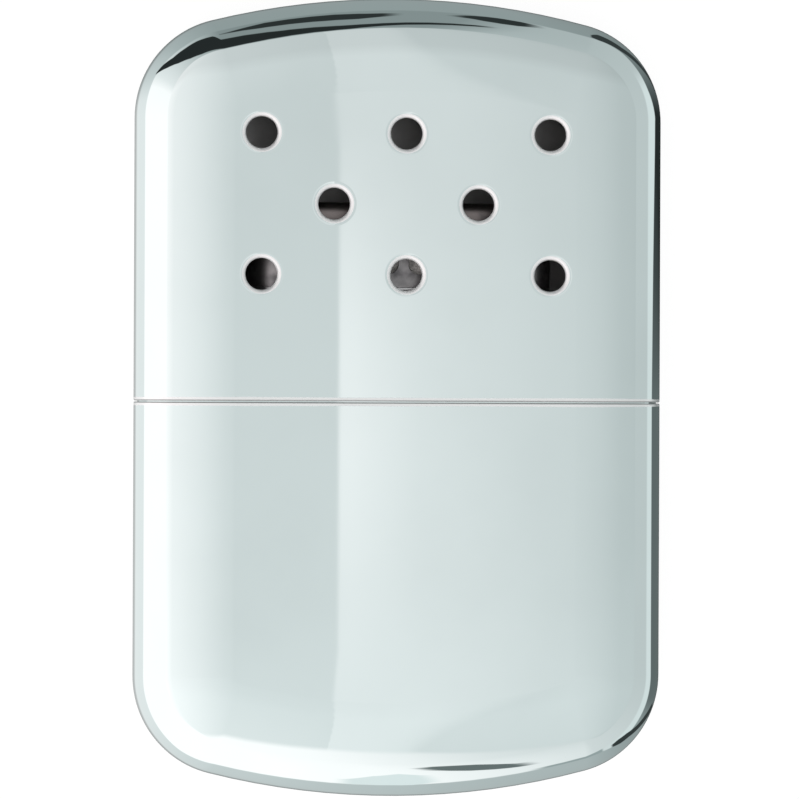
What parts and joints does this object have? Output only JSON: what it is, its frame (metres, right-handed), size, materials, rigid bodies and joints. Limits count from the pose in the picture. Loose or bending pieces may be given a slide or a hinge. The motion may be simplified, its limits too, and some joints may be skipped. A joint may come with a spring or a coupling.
{
  "type": "catalytic hand warmer",
  "caption": "Flat pocket hand warmer: a cotton-packed fuel tank with a clip-on catalytic burner under a slip-on vented lid.",
  "frame": {"origin": "on the back face, under the middle of the closed warmer", "axes": "+Z out of the vented front face, +Y from the tank to the lid's end, +X across it"},
  "size_m": [0.066, 0.099, 0.013],
  "materials": {
    "lid_plating": "polished",
    "case_plating": "polished",
    "neck_plating": "gloss",
    "collar_steel": "satin",
    "felt": "matte",
    "cotton": "matte",
    "burner_steel": "satin",
    "cage_steel": "satin",
    "gauze_steel": "satin",
    "glass_fibre": "matte"
  },
  "bodies": {
    "tank": {"case_shell": "case_plating", "neck_cap": "neck_plating", "burner_collar": "collar_steel", "wick_felt": "felt", "cotton_wad_top": "cotton", "cotton_wad_middle": "cotton", "cotton_wad_bottom": "cotton"},
    "lid": {"lid_shell": "lid_plating"},
    "burner": {"burner_skirt": "burner_steel", "burner_cage": "cage_steel", "catalyst_gauze": "gauze_steel", "catalyst_mat": "glass_fibre"}
  },
  "joints": [
    {"name": "lid_slide", "type": "slide", "parent": "tank", "child": "lid", "axis": [0, 1, 0], "range_m": [0, 0.06]},
    {"name": "burner_slide", "type": "slide", "parent": "tank", "child": "burner", "axis": [0, 1, 0], "range_m": [0, 0.014]}
  ]
}
